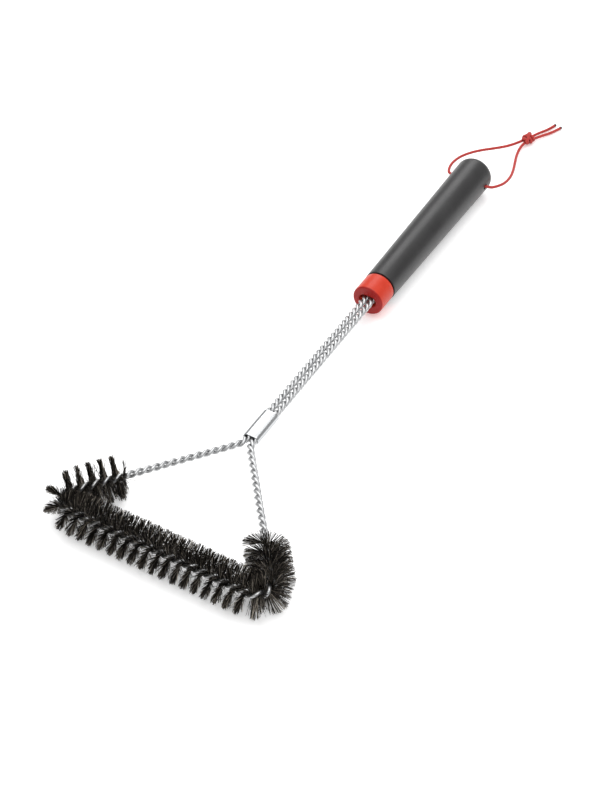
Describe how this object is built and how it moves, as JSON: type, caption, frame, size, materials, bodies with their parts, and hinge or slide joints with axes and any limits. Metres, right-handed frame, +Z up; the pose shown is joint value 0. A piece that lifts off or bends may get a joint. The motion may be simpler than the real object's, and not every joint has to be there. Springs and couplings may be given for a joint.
{
  "type": "grill cleaning brush",
  "caption": "Long-handled wire brush with a triangular twisted-wire head, bristled front bar and corners, crimp sleeve, red collar, tapered grip and a knotted hanging cord.",
  "frame": {"origin": "on the floor under the middle of the brush, without its hanging cord, as it lies flat", "axes": "+Y along the handle, from the head towards the hanging loop; +Z up, away from the floor it lies on; +X along the front bar, to the right when the handle points away from the viewer"},
  "size_m": [0.1818, 0.5728, 0.03],
  "materials": {
    "galvanised_wire": "bright galvanised",
    "bristle_steel": "dark oiled carbon steel",
    "polished_steel": "polished",
    "black_grip": "satin",
    "red_collar": "satin",
    "red_cord": "braided polyester",
    "melted_tip": "melted and scorched"
  },
  "bodies": {
    "brush": {"arm_left_wire_a": "galvanised_wire", "arm_left_wire_b": "galvanised_wire", "arm_right_wire_a": "galvanised_wire", "arm_right_wire_b": "galvanised_wire", "bar_wire_a": "galvanised_wire", "bar_wire_b": "galvanised_wire", "bristles_bar_01": "bristle_steel", "bristles_bar_02": "bristle_steel", "bristles_bar_03": "bristle_steel", "bristles_bar_04": "bristle_steel", "bristles_bar_05": "bristle_steel", "bristles_bar_06": "bristle_steel", "bristles_bar_07": "bristle_steel", "bristles_bar_08": "bristle_steel", "bristles_bar_09": "bristle_steel", "bristles_bar_10": "bristle_steel", "bristles_bar_11": "bristle_steel", "bristles_bar_12": "bristle_steel", "bristles_bar_13": "bristle_steel", "bristles_bar_14": "bristle_steel", "bristles_bar_15": "bristle_steel", "bristles_bar_16": "bristle_steel", "bristles_bar_17": "bristle_steel", "bristles_bar_18": "bristle_steel", "bristles_left_01": "bristle_steel", "bristles_left_02": "bristle_steel", "bristles_left_03": "bristle_steel", "bristles_left_04": "bristle_steel", "bristles_left_05": "bristle_steel", "bristles_left_06": "bristle_steel", "bristles_left_07": "bristle_steel", "bristles_right_01": "bristle_steel", "bristles_right_02": "bristle_steel", "bristles_right_03": "bristle_steel", "bristles_right_04": "bristle_steel", "bristles_right_05": "bristle_steel", "bristles_right_06": "bristle_steel", "bristles_right_07": "bristle_steel", "collar": "red_collar", "crimp_sleeve": "polished_steel", "handle": "black_grip", "return_left_wire_a": "galvanised_wire", "return_left_wire_b": "galvanised_wire", "return_right_wire_a": "galvanised_wire", "return_right_wire_b": "galvanised_wire", "stem_left_wire_a": "galvanised_wire", "stem_left_wire_b": "galvanised_wire", "stem_right_wire_a": "galvanised_wire", "stem_right_wire_b": "galvanised_wire"},
    "hang_loop": {"loop_cord_left": "red_cord", "loop_cord_right": "red_cord", "cord_knot": "red_cord", "tail_tip_left": "melted_tip", "tail_tip_right": "melted_tip"}
  },
  "joints": [
    {"name": "loop_swing", "type": "hinge", "parent": "brush", "child": "hang_loop", "pos_m": [0, 0.2183, 0.015], "axis": [1, 0, 0], "range_deg": [-120, 150]}
  ]
}
